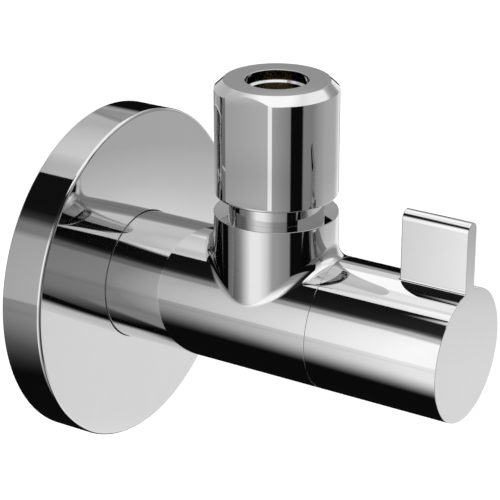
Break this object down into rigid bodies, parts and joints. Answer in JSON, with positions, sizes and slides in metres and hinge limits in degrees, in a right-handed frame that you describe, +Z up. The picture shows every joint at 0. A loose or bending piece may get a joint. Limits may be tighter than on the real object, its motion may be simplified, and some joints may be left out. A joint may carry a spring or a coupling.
{
  "type": "angle valve",
  "caption": "Quarter-turn angle valve with a round wall escutcheon, a straight barrel, an upright compression outlet with a union nut, and a round handle with a thumb lever.",
  "frame": {"origin": "where the inlet axis meets the wall, at the start of the inlet thread", "axes": "+Z up, towards the outlet; +Y into the wall, along the inlet thread; the valve stands out towards -Y and is operated from there"},
  "size_m": [0.06, 0.085, 0.0712],
  "materials": {
    "chromed_brass": "bright chrome plate on polished brass",
    "chromed_sheet": "bright chrome plate on polished sheet brass",
    "chromed_nut": "bright chrome plate on turned brass",
    "chromed_handle": "bright chrome plate on die-cast zinc",
    "nickel_ring": "bright nickel plate on turned brass",
    "bare_brass": "turned, bare",
    "black_rubber": "smooth moulded",
    "nylon": "natural, moulded",
    "acetal": "white, moulded",
    "ceramic": "lapped alumina",
    "spring_steel": "bright, oiled"
  },
  "bodies": {
    "valve": {"valve_body": "chromed_brass", "inlet_seal_ring": "nylon", "headpart_housing": "bare_brass", "headpart_o_ring": "black_rubber", "seat_seal": "black_rubber", "seal_support_ring": "nylon", "fixed_ceramic_disc": "ceramic"},
    "escutcheon": {"wall_escutcheon": "chromed_sheet", "escutcheon_o_ring": "black_rubber"},
    "grip": {"handle": "chromed_handle", "spline_insert": "acetal", "handle_grub_screw": "spring_steel", "spindle": "bare_brass", "spindle_o_ring_inner": "black_rubber", "spindle_o_ring_outer": "black_rubber", "slip_washer": "acetal", "spindle_circlip": "spring_steel", "stop_ring": "acetal", "turning_ceramic_disc": "ceramic"},
    "ring": {"compression_ring": "nickel_ring"},
    "nut": {"union_nut": "chromed_nut"}
  },
  "joints": [
    {"name": "handle_turn", "type": "hinge", "parent": "valve", "child": "grip", "pos_m": [0, -0.06, 0], "axis": [0, 1, 0], "range_deg": [0, 90]},
    {"name": "escutcheon_slide", "type": "slide", "parent": "valve", "child": "escutcheon", "axis": [0, -1, 0], "range_m": [0, 0.015]},
    {"name": "ring_lift", "type": "slide", "parent": "valve", "child": "ring", "axis": [0, 0, 1], "range_m": [0, 0.0122]},
    {"name": "nut_unscrew", "type": "hinge", "parent": "ring", "child": "nut", "pos_m": [0, -0.0362, 0.03], "axis": [0, 0, 1], "range_deg": [0, 3240]}
  ],
  "couplings": [
    {"joint": "ring_lift", "follows": "nut_unscrew", "m_per_rad": 0.00021276}
  ]
}
